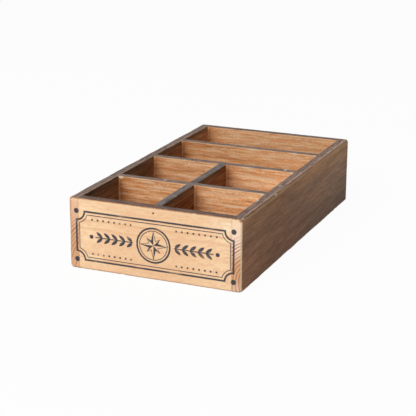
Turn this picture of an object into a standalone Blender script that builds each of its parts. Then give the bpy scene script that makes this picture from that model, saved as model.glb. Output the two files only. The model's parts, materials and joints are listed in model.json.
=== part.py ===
"""Open wooden organizer box with six compartments.

Metres, +Z up. The origin is the middle of the underside, and the front of the box faces -Y.
"""
import bmesh
import bpy
from mathutils import Matrix, Vector

# Overall size of the box
BOX_WIDTH = 0.165
BOX_DEPTH = 0.300
BOX_HEIGHT = 0.066

# Thickness of the outer boards, the dividers and the ply bottom
BOARD = 0.0094
DIVIDER = 0.0074
PANEL = 0.003

# Clear depth of each of the two front rows; the two rear rows share what is left
FRONT_ROW = 0.0694

# The ply bottom sits in a groove, this high above the underside and this deep into the boards
PANEL_RAISE = 0.004
GROOVE_DEPTH = 0.003

# The dividers' ends sit in housings that stop short of the rim
HOUSING_DEPTH = 0.002
HOUSING_STOP = 0.008

# Where the two crossing dividers are halved, as a share of their height
LAP_SHARE = 0.5

# Clearance between faces that touch
FIT = 0.0003

# Rounding of the outer edges, and the chamfer around each compartment's mouth
OUTER_ROUND = 0.0024
ROUND_SEGMENTS = 4
MOUTH_EASE = 0.0007

# Brads: a thin shank with a small head, punched just below the surface
BRAD_LENGTH = 0.020
BRAD_RADIUS = 0.0005
BRAD_HEAD_RADIUS = 0.00075
BRAD_HEAD = 0.0009
BRAD_POINT = 0.0016
BRAD_SINK = 0.0004
BRAD_PLAY = 0.00025
BRAD_SIDES = 12

# Heights of the brads, as shares of the box's height
SIDE_BRAD_SHARES = {"low": 0.22, "high": 0.78}
MIDDLE_BRAD_SHARE = 0.55

# The brad in the front board lies this far below the rim
FRONT_BRAD_DROP = 0.0048

# How far blanks and cutters run past the faces that they cut
OVERRUN = 0.002

# Where two points of a turned profile count as one
MERGE = 0.00001

# Colour, roughness and metallic value of each material
FINISHES = {
    "dark_stained_pine": ((0.165, 0.095, 0.056), 0.62, 0.0),
    "natural_pine": ((0.871, 0.610, 0.352), 0.55, 0.0),
    "amber_stained_pine": ((0.445, 0.235, 0.108), 0.60, 0.0),
    "ply": ((0.400, 0.220, 0.110), 0.65, 0.0),
    "steel": ((0.180, 0.150, 0.130), 0.45, 1.0),
}

# Planes that the pieces share
HALF_WIDTH = BOX_WIDTH / 2
HALF_DEPTH = BOX_DEPTH / 2
INNER_X = HALF_WIDTH - BOARD
INNER_Y = HALF_DEPTH - BOARD
PANEL_TOP = PANEL_RAISE + PANEL
DIVIDER_FOOT = PANEL_TOP + FIT
LAP_HEIGHT = DIVIDER_FOOT + (BOX_HEIGHT - DIVIDER_FOOT) * LAP_SHARE
SHOULDER_HEIGHT = BOX_HEIGHT - HOUSING_STOP
REAR_ROW = (2 * INNER_Y - 2 * FRONT_ROW - 3 * DIVIDER) / 2

# Middle planes of the cross dividers, from the front of the box to the back
FRONT_DIVIDER_Y = -INNER_Y + FRONT_ROW + DIVIDER / 2
MIDDLE_DIVIDER_Y = FRONT_DIVIDER_Y + FRONT_ROW + DIVIDER
REAR_DIVIDER_Y = MIDDLE_DIVIDER_Y + REAR_ROW + DIVIDER
CROSS_DIVIDERS = {
    "front": FRONT_DIVIDER_Y,
    "middle": MIDDLE_DIVIDER_Y,
    "rear": REAR_DIVIDER_Y,
}


def clear_scene():
    for item in list(bpy.data.objects):
        bpy.data.objects.remove(item)


def new_collection(name):
    group = bpy.data.collections.new(name)
    bpy.context.scene.collection.children.link(group)
    return group


def new_material(name):
    colour, roughness, metallic = FINISHES[name]
    finish = bpy.data.materials.new(name)
    finish.use_nodes = True
    shader = finish.node_tree.nodes["Principled BSDF"]
    shader.inputs["Base Color"].default_value = (*colour, 1.0)
    shader.inputs["Roughness"].default_value = roughness
    shader.inputs["Metallic"].default_value = metallic
    finish.diffuse_color = (*colour, 1.0)
    return finish


def add_box(mesh, low, high):
    """Add one box to a bmesh, between two corners."""
    low = Vector(low)
    high = Vector(high)
    place = Matrix.Translation((low + high) / 2) @ Matrix.Diagonal((*(high - low), 1.0))
    return bmesh.ops.create_cube(mesh, size=1.0, matrix=place)["verts"]


def new_object(name, mesh, group, location=(0, 0, 0)):
    """Turn a bmesh into an object of the given collection."""
    data = bpy.data.meshes.new(name)
    mesh.to_mesh(data)
    mesh.free()
    piece = bpy.data.objects.new(name, data)
    piece.location = location
    group.objects.link(piece)
    return piece


def board(name, low, high, group, finish):
    """One board, sawn as a box between two corners, with its origin at its middle."""
    middle = (Vector(low) + Vector(high)) / 2
    mesh = bmesh.new()
    add_box(mesh, Vector(low) - middle, Vector(high) - middle)
    piece = new_object(name, mesh, group, middle)
    piece.data.materials.append(finish)
    return piece


def as_cutter(piece):
    piece.hide_render = True
    piece.display_type = "WIRE"
    return piece


def box_cutter(name, boxes, group):
    """A cutter made of boxes that don't touch each other."""
    mesh = bmesh.new()
    for low, high in boxes:
        add_box(mesh, low, high)
    return as_cutter(new_object(name, mesh, group))


def boolean(piece, cutter, operation="DIFFERENCE"):
    step = piece.modifiers.new(f"{operation.lower()}_{cutter.name}", "BOOLEAN")
    step.operation = operation
    step.object = cutter
    step.solver = "EXACT"


def turned(name, profile, group):
    """A shape turned about Z from points of radius and height, as a plain mesh object."""
    mesh = bmesh.new()
    points = [mesh.verts.new((radius, 0, height)) for radius, height in profile]
    for first, second in zip(points, points[1:]):
        mesh.edges.new((first, second))
    outline = new_object(f"{name}_profile", mesh, group)
    screw = outline.modifiers.new("screw", "SCREW")
    screw.steps = BRAD_SIDES
    screw.render_steps = BRAD_SIDES
    screw.use_merge_vertices = True
    screw.merge_threshold = MERGE
    screw.use_smooth_shade = False
    bpy.context.view_layer.update()
    evaluated = outline.evaluated_get(bpy.context.evaluated_depsgraph_get())
    data = bpy.data.meshes.new_from_object(evaluated)
    data.name = name
    bpy.data.objects.remove(outline)
    return data


def envelope_cutter(group):
    """The sanded outer form of the assembled box, which trims every board."""
    mesh = bmesh.new()
    add_box(mesh, (-HALF_WIDTH, -HALF_DEPTH, 0), (HALF_WIDTH, HALF_DEPTH, BOX_HEIGHT))
    envelope = new_object("sanded_envelope", mesh, group)
    rounding = envelope.modifiers.new("rounding", "BEVEL")
    rounding.width = OUTER_ROUND
    rounding.segments = ROUND_SEGMENTS
    rounding.limit_method = "ANGLE"
    return as_cutter(envelope)


def compartments():
    """Plan rectangles of the six compartments, as low and high corners."""
    rows = [-INNER_Y, *CROSS_DIVIDERS.values(), INNER_Y]
    plans = []
    for index in range(len(rows) - 1):
        front = rows[index] + (DIVIDER / 2 if index > 0 else 0)
        back = rows[index + 1] - (DIVIDER / 2 if index + 2 < len(rows) else 0)
        if rows[index] < FRONT_DIVIDER_Y + DIVIDER:
            plans.append(((-INNER_X, front), (-DIVIDER / 2, back)))
            plans.append(((DIVIDER / 2, front), (INNER_X, back)))
        else:
            plans.append(((-INNER_X, front), (INNER_X, back)))
    return plans


def mouth_cutter(group):
    """Blocks that widen upwards at 45 degrees and chamfer each compartment's mouth."""
    mesh = bmesh.new()
    spread = MOUTH_EASE + OVERRUN
    for low, high in compartments():
        corners = add_box(
            mesh,
            (low[0] + OVERRUN, low[1] + OVERRUN, BOX_HEIGHT - spread),
            (high[0] - OVERRUN, high[1] - OVERRUN, BOX_HEIGHT + OVERRUN),
        )
        middle = (Vector(low) + Vector(high)) / 2
        widening = spread + OVERRUN
        for corner in corners:
            if corner.co.z > BOX_HEIGHT:
                corner.co.x += widening if corner.co.x > middle.x else -widening
                corner.co.y += widening if corner.co.y > middle.y else -widening
    return as_cutter(new_object("compartment_mouths", mesh, group))


def panel_recess(group):
    """The groove that the ply bottom sits in, all round the box."""
    reach_x = INNER_X + GROOVE_DEPTH
    reach_y = INNER_Y + GROOVE_DEPTH
    low = (-reach_x, -reach_y, PANEL_RAISE - FIT)
    high = (reach_x, reach_y, PANEL_TOP + FIT)
    return box_cutter("panel_groove", [(low, high)], group)


def cross_housings(group):
    """Slots in the side boards for the ends of the cross dividers."""
    half = DIVIDER / 2 + FIT
    reach = INNER_X + HOUSING_DEPTH
    foot = PANEL_RAISE + PANEL / 2
    boxes = []
    for y in CROSS_DIVIDERS.values():
        boxes.append(((-reach, y - half, foot), (reach, y + half, SHOULDER_HEIGHT)))
    return box_cutter("cross_divider_housings", boxes, group)


def centre_housing(group):
    """Slots in the front board and the middle divider for the ends of the centre divider."""
    half = DIVIDER / 2 + FIT
    front = -INNER_Y - HOUSING_DEPTH
    back = MIDDLE_DIVIDER_Y - DIVIDER / 2 + HOUSING_DEPTH
    foot = PANEL_RAISE + PANEL / 2
    box = ((-half, front, foot), (half, back, SHOULDER_HEIGHT))
    return box_cutter("centre_divider_housings", [box], group)


def cross_shoulders(group):
    """Corners cut from the cross dividers, so that they meet the sides plainly at the rim."""
    half = DIVIDER / 2 + OVERRUN
    inner = INNER_X - FIT
    outer = INNER_X + HOUSING_DEPTH + OVERRUN
    low_z = SHOULDER_HEIGHT - FIT
    high_z = BOX_HEIGHT + 2 * OVERRUN
    boxes = []
    for y in CROSS_DIVIDERS.values():
        boxes.append(((inner, y - half, low_z), (outer, y + half, high_z)))
        boxes.append(((-outer, y - half, low_z), (-inner, y + half, high_z)))
    return box_cutter("cross_divider_shoulders", boxes, group)


def centre_shoulders(group):
    """Corners cut from the two ends of the centre divider."""
    half = DIVIDER / 2 + OVERRUN
    reach = HOUSING_DEPTH + OVERRUN
    front = -INNER_Y + FIT
    back = MIDDLE_DIVIDER_Y - DIVIDER / 2 - FIT
    low_z = SHOULDER_HEIGHT - FIT
    high_z = BOX_HEIGHT + 2 * OVERRUN
    boxes = [
        ((-half, front - reach, low_z), (half, front, high_z)),
        ((-half, back, low_z), (half, back + reach, high_z)),
    ]
    return box_cutter("centre_divider_shoulders", boxes, group)


def lap_cutters(group):
    """The two notches of the halved crossing: one opens downwards and one upwards."""
    half = DIVIDER / 2
    slot = half + FIT
    wide = half + OVERRUN
    under = box_cutter(
        "lap_under_cross_divider",
        [
            (
                (-slot, FRONT_DIVIDER_Y - wide, PANEL_RAISE),
                (slot, FRONT_DIVIDER_Y + wide, LAP_HEIGHT + FIT / 2),
            )
        ],
        group,
    )
    over = box_cutter(
        "lap_over_centre_divider",
        [
            (
                (-wide, FRONT_DIVIDER_Y - slot, LAP_HEIGHT - FIT / 2),
                (wide, FRONT_DIVIDER_Y + slot, BOX_HEIGHT + 2 * OVERRUN),
            )
        ],
        group,
    )
    return under, over


def brad_places():
    """Name, surface point and outward direction of each brad."""
    stations = {
        "front_board": -HALF_DEPTH + BOARD / 2,
        "back_board": HALF_DEPTH - BOARD / 2,
    }
    for name, y in CROSS_DIVIDERS.items():
        stations[f"{name}_divider"] = y
    places = {}
    for side, sign in (("left", -1), ("right", 1)):
        for station, y in stations.items():
            for level, share in SIDE_BRAD_SHARES.items():
                point = Vector((sign * HALF_WIDTH, y, BOX_HEIGHT * share))
                places[f"brad_{side}_{station}_{level}"] = (point, Vector((sign, 0, 0)))
    front_point = Vector((0, -HALF_DEPTH, BOX_HEIGHT - FRONT_BRAD_DROP))
    places["brad_centre_front"] = (front_point, Vector((0, -1, 0)))
    rear_face = MIDDLE_DIVIDER_Y + DIVIDER / 2
    rear_point = Vector((0, rear_face, BOX_HEIGHT * MIDDLE_BRAD_SHARE))
    places["brad_centre_rear"] = (rear_point, Vector((0, 1, 0)))
    return places


def brad_matrix(point, outward):
    """Stand a shape turned about Z on a surface, with +Z pointing outwards."""
    return Matrix.Translation(point) @ outward.to_track_quat("Z", "Y").to_matrix().to_4x4()


def brad_mesh(group):
    """Head, shank and point, from the sunk head down to the tip."""
    top = -BRAD_SINK
    neck = top - BRAD_HEAD
    tip = top - BRAD_LENGTH
    profile = [
        (0, top),
        (BRAD_HEAD_RADIUS, top),
        (BRAD_HEAD_RADIUS, neck),
        (BRAD_RADIUS, neck),
        (BRAD_RADIUS, tip + BRAD_POINT),
        (0, tip),
    ]
    return turned("brad", profile, group)


def hole_mesh(group):
    """The hole around one brad, open at the surface."""
    neck = -BRAD_SINK - BRAD_HEAD - BRAD_PLAY
    floor = -BRAD_SINK - BRAD_LENGTH - BRAD_PLAY
    profile = [
        (0, OVERRUN),
        (BRAD_HEAD_RADIUS + BRAD_PLAY, OVERRUN),
        (BRAD_HEAD_RADIUS + BRAD_PLAY, neck),
        (BRAD_RADIUS + BRAD_PLAY, neck),
        (BRAD_RADIUS + BRAD_PLAY, floor),
        (0, floor),
    ]
    return turned("brad_hole", profile, group)


def hole_cutter(group):
    """One cutter with the hole of every brad."""
    template = hole_mesh(group)
    mesh = bmesh.new()
    for point, outward in brad_places().values():
        hole = bmesh.new()
        hole.from_mesh(template)
        hole.transform(brad_matrix(point, outward))
        placed = bpy.data.meshes.new("placed_hole")
        hole.to_mesh(placed)
        hole.free()
        mesh.from_mesh(placed)
        bpy.data.meshes.remove(placed)
    bpy.data.meshes.remove(template)
    return as_cutter(new_object("brad_holes", mesh, group))


def make_cutters(group):
    under, over = lap_cutters(group)
    return {
        "envelope": envelope_cutter(group),
        "mouths": mouth_cutter(group),
        "groove": panel_recess(group),
        "cross_housings": cross_housings(group),
        "centre_housing": centre_housing(group),
        "cross_shoulders": cross_shoulders(group),
        "centre_shoulders": centre_shoulders(group),
        "lap_under": under,
        "lap_over": over,
        "holes": hole_cutter(group),
    }


def finish_board(piece, cutters, cuts):
    """Trim a blank to the sanded box, ease its mouths and cut its joints."""
    boolean(piece, cutters["envelope"], "INTERSECT")
    for cut in ("mouths", *cuts, "holes"):
        boolean(piece, cutters[cut])


def make_sides(group, cutters, finish):
    """Full-length side boards, whose end grain shows at the front and the back."""
    low_z = -OVERRUN
    high_z = BOX_HEIGHT + OVERRUN
    reach_y = HALF_DEPTH + OVERRUN
    outer = HALF_WIDTH + OVERRUN
    left = board("side_board_left", (-outer, -reach_y, low_z), (-INNER_X, reach_y, high_z), group, finish)
    right = board("side_board_right", (INNER_X, -reach_y, low_z), (outer, reach_y, high_z), group, finish)
    for piece in (left, right):
        finish_board(piece, cutters, ["groove", "cross_housings"])


def make_ends(group, cutters, front_finish, back_finish):
    """Front and back boards, which fit between the sides."""
    reach_x = INNER_X - FIT
    low_z = -OVERRUN
    high_z = BOX_HEIGHT + OVERRUN
    outer = HALF_DEPTH + OVERRUN
    front = board("front_board", (-reach_x, -outer, low_z), (reach_x, -INNER_Y, high_z), group, front_finish)
    back = board("back_board", (-reach_x, INNER_Y, low_z), (reach_x, outer, high_z), group, back_finish)
    finish_board(front, cutters, ["groove", "centre_housing"])
    finish_board(back, cutters, ["groove"])


def make_dividers(group, cutters, finish):
    """Three cross dividers and the centre divider that is halved over the first of them."""
    reach_x = INNER_X + HOUSING_DEPTH - FIT
    high_z = BOX_HEIGHT + OVERRUN
    own_cuts = {
        "front": ["lap_under"],
        "middle": ["centre_housing"],
        "rear": [],
    }
    for name, y in CROSS_DIVIDERS.items():
        low = (-reach_x, y - DIVIDER / 2, DIVIDER_FOOT)
        high = (reach_x, y + DIVIDER / 2, high_z)
        piece = board(f"cross_divider_{name}", low, high, group, finish)
        finish_board(piece, cutters, ["cross_shoulders", *own_cuts[name]])
    front = -INNER_Y - HOUSING_DEPTH + FIT
    back = MIDDLE_DIVIDER_Y - DIVIDER / 2 + HOUSING_DEPTH - FIT
    low = (-DIVIDER / 2, front, DIVIDER_FOOT)
    high = (DIVIDER / 2, back, high_z)
    centre = board("centre_divider", low, high, group, finish)
    finish_board(centre, cutters, ["centre_shoulders", "lap_over"])


def make_bottom(group, finish):
    """The ply bottom, held in the grooves of the four outer boards."""
    reach_x = INNER_X + GROOVE_DEPTH - FIT
    reach_y = INNER_Y + GROOVE_DEPTH - FIT
    board("bottom_panel", (-reach_x, -reach_y, PANEL_RAISE), (reach_x, reach_y, PANEL_TOP), group, finish)


def make_brads(group, finish):
    """Every brad, standing in its own hole."""
    data = brad_mesh(group)
    data.materials.append(finish)
    for name, (point, outward) in brad_places().items():
        piece = bpy.data.objects.new(name, data)
        piece.matrix_world = brad_matrix(point, outward)
        group.objects.link(piece)


def main():
    clear_scene()
    group = new_collection("organizer_box")
    cutter_group = new_collection("cutters")
    finishes = {name: new_material(name) for name in FINISHES}
    cutters = make_cutters(cutter_group)
    make_sides(group, cutters, finishes["dark_stained_pine"])
    make_ends(group, cutters, finishes["natural_pine"], finishes["dark_stained_pine"])
    make_dividers(group, cutters, finishes["amber_stained_pine"])
    make_bottom(group, finishes["ply"])
    make_brads(group, finishes["steel"])


main()
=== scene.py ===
"""Looks of the wooden organizer box: worn stained boards, a printed front and a plain studio.

The scene is in metres, like the frame. Boards and patterns are described in millimetres.
"""
import json
import math
from collections import namedtuple

import bmesh
import bpy
import numpy as np
from mathutils import Matrix, Vector, noise


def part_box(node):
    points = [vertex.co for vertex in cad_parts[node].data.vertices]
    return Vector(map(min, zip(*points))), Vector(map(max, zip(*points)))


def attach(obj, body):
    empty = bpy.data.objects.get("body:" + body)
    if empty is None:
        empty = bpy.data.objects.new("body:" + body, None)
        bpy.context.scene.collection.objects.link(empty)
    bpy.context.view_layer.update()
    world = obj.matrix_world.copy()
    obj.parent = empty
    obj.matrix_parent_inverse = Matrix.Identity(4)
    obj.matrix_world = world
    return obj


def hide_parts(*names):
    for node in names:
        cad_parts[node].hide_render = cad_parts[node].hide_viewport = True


MM = 0.001

# Axes of the box: across it, from front to back, and up. A face of a board is an axis and a side
X, Y, Z = range(3)

# Camera, fitted to the edges of the box in the photograph, in metres, degrees and millimetres
CAMERA_EYE = (0.45681, -1.10850, 0.39693)
CAMERA_YAW = -22.9347
CAMERA_PITCH = 17.3110
CAMERA_ROLL = 0.3056
LENS_MM = 111.988
SENSOR_MM = 36.0
CLIP_NEAR = 0.05
CLIP_FAR = 50.0

# Rounding of the arrises, in millimetres: outer ones, compartment mouths and tight joints
OUTER_ROUND = 2.4
MOUTH_ROUND = 0.5
JOINT_ROUND = 0.08

# Steps in which they turn, the plane beside them, and the angle in degrees over which edges stay sharp
OUTER_TURNS = 4
MOUTH_TURNS = 2
JOINT_TURNS = 1
PAST_ROUND_SHARE = 1.3
SHARP_ANGLE = 38.0

# Gap at a joint, and the joint sizes that the nodes' boxes don't tell
SEAM = 0.06
HOUSING_DEPTH = 2.0
HOUSING_STOP = 8.0
LAP_SHARE = 0.5
PANEL_PLAY = 0.1

# Spacing of the cross planes of a board: along it, across it, and the least that is kept
STATION_STEP = 1.6
FACE_STEP = 6.0
LEAST_STEP = 0.12

# Extra planes beside the edge of a board that meets it, and how far they keep from its own ends
JUNCTION_SHIFTS = (-MOUTH_ROUND, -0.3, 0.0, 0.3, MOUTH_ROUND)
END_CLEARANCE = 1.0

# How far an arris wanders, as shares of its radius, and how deep the planed faces dip
SLOW_WANDER_SHARE = 0.26
FAST_WANDER_SHARE = 0.14
SLOW_PERIOD = 17.0
FAST_PERIOD = 3.6
FACE_DIP = 0.05
DIP_PERIOD = 24.0

# How much of its depth a chip takes away, and how unevenly
CHIP_FULL_SHARE = 0.7
CHIP_MEAN_SHARE = 0.75
CHIP_ROUGH_SHARE = 0.5

# Pockets in which the heads of two brads show
POCKET_RADIUS = 0.95
POCKET_DEPTH = 1.35
POCKET_SIDES = 24

# How far cutters and junctions reach past the faces that they end at
OVERRUN = 2.0

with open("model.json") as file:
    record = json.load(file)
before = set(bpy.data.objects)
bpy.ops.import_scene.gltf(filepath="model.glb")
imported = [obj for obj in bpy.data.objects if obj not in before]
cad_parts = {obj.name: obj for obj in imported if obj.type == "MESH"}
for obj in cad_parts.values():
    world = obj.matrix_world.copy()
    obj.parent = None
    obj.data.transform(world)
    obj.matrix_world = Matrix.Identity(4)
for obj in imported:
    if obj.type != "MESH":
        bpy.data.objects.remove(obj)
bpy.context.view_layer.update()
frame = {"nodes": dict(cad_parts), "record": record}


def box_mm(node):
    low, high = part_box(node)
    return np.array(low) / MM, np.array(high) / MM


RIGHT_LOW, RIGHT_HIGH = box_mm("side_board_right")
BACK_LOW, BACK_HIGH = box_mm("back_board")
FRONT_LOW, _ = box_mm("front_board")
PANEL_LOW, PANEL_HIGH = box_mm("bottom_panel")
CROSS = {name: box_mm(f"cross_divider_{name}") for name in ("front", "middle", "rear")}
CENTRE_LOW, CENTRE_HIGH = box_mm("centre_divider")

INNER_X = RIGHT_LOW[X]
OUTER_X = RIGHT_HIGH[X]
FRONT_Y = FRONT_LOW[Y]
BACK_Y = BACK_HIGH[Y]
INNER_Y = BACK_LOW[Y]
RIM_Z = RIGHT_HIGH[Z]
SHOULDER_Z = RIM_Z - HOUSING_STOP
LAP_Z = CENTRE_LOW[Z] + (RIM_Z - CENTRE_LOW[Z]) * LAP_SHARE
GROOVE = (PANEL_LOW - PANEL_PLAY, PANEL_HIGH + PANEL_PLAY)
HOUSING_FOOT_Z = PANEL_LOW[Z] + PANEL_PLAY

# Faces of the cross dividers that look to the front
FRONT_WALL, MIDDLE_WALL, REAR_WALL = (low[Y] for low, _ in CROSS.values())


def add_object(name, data):
    """Put a mesh, a lamp or a camera into the scene."""
    thing = bpy.data.objects.new(name, data)
    bpy.context.scene.collection.objects.link(thing)
    return thing


def add_mesh(name, mesh):
    """Put a mesh that is still open for editing into the scene."""
    data = bpy.data.meshes.new(name)
    mesh.to_mesh(data)
    mesh.free()
    return add_object(name, data)


# Board shapes

def arris_offsets(radius, turns):
    """Distances from an arris at which its rounding turns by equal angles, and one beyond it."""
    angles = [math.radians(45 * (1 - step / turns)) for step in range(turns + 1)]
    return [radius * (1 - math.tan(angle)) for angle in angles] + [radius * PAST_ROUND_SHARE]


def cross_planes(low, high, low_offsets, high_offsets, step, extra):
    """Places where a board's mesh is divided along one axis, closest beside its arrises."""
    starts = [low + offset for offset in low_offsets]
    ends = [high - offset for offset in high_offsets]
    count = max(2, int(round((ends[-1] - starts[-1]) / step)) + 1)
    planes = np.concatenate([starts, np.linspace(starts[-1], ends[-1], count), ends, extra])
    kept = []
    for plane in np.unique(planes):
        if not kept or plane - kept[-1] > LEAST_STEP:
            kept.append(float(plane))
    kept[-1] = high
    return kept


def lattice(planes):
    """Points and quads of a closed box surface divided by three lists of planes."""
    counts = [len(values) for values in planes]
    surface = np.zeros(counts, bool)
    for axis in (X, Y, Z):
        ends = np.moveaxis(surface, axis, 0)
        ends[0] = True
        ends[-1] = True
    index = np.full(counts, -1)
    index[surface] = np.arange(surface.sum())
    points = np.stack(np.meshgrid(*planes, indexing="ij"), -1)[surface]
    quads = []
    for axis in (X, Y, Z):
        for end in (0, -1):
            sheet = np.take(index, end, axis)
            corners = [sheet[:-1, :-1], sheet[1:, :-1], sheet[1:, 1:], sheet[:-1, 1:]]
            if (end == 0) != (axis == Y):
                corners.reverse()
            quads.append(np.stack(corners, -1).reshape(-1, 4))
    return points, np.concatenate(quads)


def wander(stations, seed, base):
    """Radius along an arris that is worn unevenly."""
    radii = []
    for station in stations:
        slow = noise.noise(Vector((station / SLOW_PERIOD, seed, 0.5)))
        fast = noise.noise(Vector((station / FAST_PERIOD, seed, 7.5)))
        radii.append(base * (1 + SLOW_WANDER_SHARE * slow + FAST_WANDER_SHARE * fast))
    return np.array(radii)


def round_arris(points, faces, planes, radius):
    """Pull the points beside the arris of two faces onto a rounding."""
    depths = []
    for axis, side in faces:
        position = planes[axis][-1 if side > 0 else 0]
        depths.append((position - points[:, axis]) * side)
    near = [np.clip(radius - depth, 0, None) for depth in depths]
    inside = (near[0] > 0) & (near[1] > 0)
    reach = np.hypot(*near)
    pull = np.maximum(*near) / np.where(inside, reach, 1)
    for (axis, side), depth, closeness in zip(faces, depths, near):
        moved = radius - closeness * pull - depth
        points[:, axis] -= np.where(inside, moved, 0) * side


class Board:
    """One board: its box in millimetres, the axis of its grain, and what its faces meet.

    outer holds the faces on the outside of the box, and opening those beside a compartment.
    junctions are the stretches where other boards meet it: a face, a start and an end.
    """

    def __init__(self, node, slot, low, high, along, outer, opening, junctions):
        self.node = node
        self.slot = slot
        self.low = np.array(low, float)
        self.high = np.array(high, float)
        self.along = along
        self.outer = outer
        self.opening = opening
        self.junctions = junctions
        # Where the board's own noises start
        self.seed = sum(ord(letter) for letter in node) % 97 + 0.37

    def arris_size(self, faces):
        """Radius and turns of the arris between two faces."""
        if all(face in self.outer for face in faces):
            return OUTER_ROUND, OUTER_TURNS
        if (Z, 1) in faces and any(face in self.opening for face in faces):
            return MOUTH_ROUND, MOUTH_TURNS
        return JOINT_ROUND, JOINT_TURNS

    def offsets(self, axis, side):
        """Plane distances that suit the largest arris beside one face."""
        others = [(other, way) for other in {X, Y, Z} - {axis} for way in (-1, 1)]
        return arris_offsets(*max(self.arris_size(((axis, side), other)) for other in others))

    def planes(self):
        """Places where the board's mesh is divided, for each axis."""
        edges = [edge for _, start, end in self.junctions for edge in (start, end)]
        beside = [edge + shift for edge in edges for shift in JUNCTION_SHIFTS]
        result = []
        for axis in (X, Y, Z):
            low, high = self.low[axis], self.high[axis]
            step, extra = FACE_STEP, []
            if axis == self.along:
                step = STATION_STEP
                extra = [place for place in beside if low + END_CLEARANCE < place < high - END_CLEARANCE]
            offsets = [self.offsets(axis, side) for side in (-1, 1)]
            result.append(cross_planes(low, high, *offsets, step, extra))
        return result

    def radius_at(self, points, faces, seed):
        """Arris radius for every point, wandering along the board and small where boards meet."""
        base, _ = self.arris_size(faces)
        run = ({X, Y, Z} - {axis for axis, _ in faces}).pop()
        stations = np.unique(points[:, run])
        worn = wander(stations, seed, base) if base > JOINT_ROUND else np.full(len(stations), base)
        if base == MOUTH_ROUND and run == self.along:
            for face, start, end in self.junctions:
                if face in faces:
                    away = np.maximum(start - stations, stations - end)
                    share = np.clip(away / MOUTH_ROUND, 0, 1)
                    worn = JOINT_ROUND + (worn - JOINT_ROUND) * share
        return np.interp(points[:, run], stations, worn)


# Where handling has chipped the arrises of each board: place, reach and depth, in millimetres
CHIPS = {
    "side_board_right": (
        ((OUTER_X - 0.2, -66.7, RIM_Z - 0.2), 3.4, 0.75),
        ((OUTER_X - 0.3, FRONT_Y + 0.4, RIM_Z - 0.3), 3, 0.7),
        ((OUTER_X - 0.3, FRONT_Y + 0.3, 0.3), 3.6, 0.8),
        ((INNER_X, -93.6, RIM_Z - 0.1), 2, 0.45),
        ((OUTER_X - 0.1, 40, RIM_Z - 0.1), 3, 0.4),
        ((OUTER_X - 0.2, 112, 0.3), 3.6, 0.6),
    ),
    "side_board_left": (
        ((-OUTER_X + 0.2, -12, RIM_Z - 0.2), 3.2, 0.6),
        ((-OUTER_X + 0.2, 88, 0.4), 3.4, 0.6),
        ((-OUTER_X + 0.3, FRONT_Y + 0.4, 0.4), 3, 0.6),
    ),
    "front_board": (
        ((-31, FRONT_Y + 0.2, 0.3), 3.6, 0.5),
        ((38, FRONT_Y + 0.2, RIM_Z - 0.3), 2.6, 0.35),
    ),
    "back_board": [((21, BACK_Y - 0.2, RIM_Z - 0.3), 3.2, 0.55)],
    "cross_divider_front": [((INNER_X - 4, FRONT_WALL, RIM_Z - 0.2), 2.4, 0.45)],
    "cross_divider_middle": (
        ((INNER_X - 2.8, MIDDLE_WALL, RIM_Z - 0.2), 2.4, 0.45),
        ((-40, MIDDLE_WALL, RIM_Z - 0.2), 2.2, 0.35),
    ),
    "cross_divider_rear": [((INNER_X - 2.5, REAR_WALL, RIM_Z - 0.2), 2.4, 0.45)],
    "centre_divider": [((CENTRE_HIGH[X] - 0.1, -110, RIM_Z - 0.2), 2.2, 0.35)],
}


def chip(points, board):
    """Break small hollows into the board's arrises."""
    middle = (board.low + board.high) / 2
    for place, reach, depth in CHIPS.get(board.node, ()):
        centre = np.array(place)
        distance = np.linalg.norm(points - centre, axis=1)
        share = np.clip(1 - (distance / reach) ** 2, 0, 1) ** 2
        inward = np.sign(middle - centre)
        inward[board.along] = 0
        for row in np.flatnonzero(share):
            rough = CHIP_MEAN_SHARE + CHIP_ROUGH_SHARE * noise.noise(Vector(points[row]))
            points[row] += inward * depth * share[row] * rough * CHIP_FULL_SHARE


def dip_faces(points, board):
    """Let the planed faces dip very slightly, always inwards."""
    middle = (board.low + board.high) / 2
    half = (board.high - board.low) / 2
    for row, point in enumerate(points):
        share = 0.5 + 0.5 * noise.noise(Vector(point) / DIP_PERIOD + Vector((board.seed, 0, 0)))
        points[row] = middle + (point - middle) * (1 - FACE_DIP * share / half)


def box_blank(mesh, low, high):
    low = Vector(low)
    high = Vector(high)
    place = Matrix.Translation((low + high) / 2) @ Matrix.Diagonal((*(high - low), 1))
    bmesh.ops.create_cube(mesh, size=1, matrix=place)


def pocket_blank(mesh, place, outward):
    turn = Vector(outward).to_track_quat("Z", "Y").to_matrix().to_4x4()
    bmesh.ops.create_cone(
        mesh,
        cap_ends=True,
        segments=POCKET_SIDES,
        radius1=POCKET_RADIUS,
        radius2=POCKET_RADIUS,
        depth=2 * POCKET_DEPTH,
        matrix=Matrix.Translation(place) @ turn,
    )


def carve(piece, boxes, pockets):
    """Cut boxes and round pockets out of a piece."""
    blanks = [(box_blank, box) for box in boxes] + [(pocket_blank, pocket) for pocket in pockets]
    cutters = []
    for shape, places in blanks:
        mesh = bmesh.new()
        shape(mesh, *places)
        bmesh.ops.scale(mesh, vec=(MM, MM, MM), verts=mesh.verts)
        cutter = add_mesh("cutter", mesh)
        step = piece.modifiers.new("carve", "BOOLEAN")
        step.object = cutter
        step.solver = "EXACT"
        cutters.append(cutter)
    bpy.context.view_layer.update()
    evaluated = piece.evaluated_get(bpy.context.evaluated_depsgraph_get())
    carved = bpy.data.meshes.new_from_object(evaluated)
    piece.modifiers.clear()
    piece.data = carved
    for cutter in cutters:
        bpy.data.objects.remove(cutter)


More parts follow.
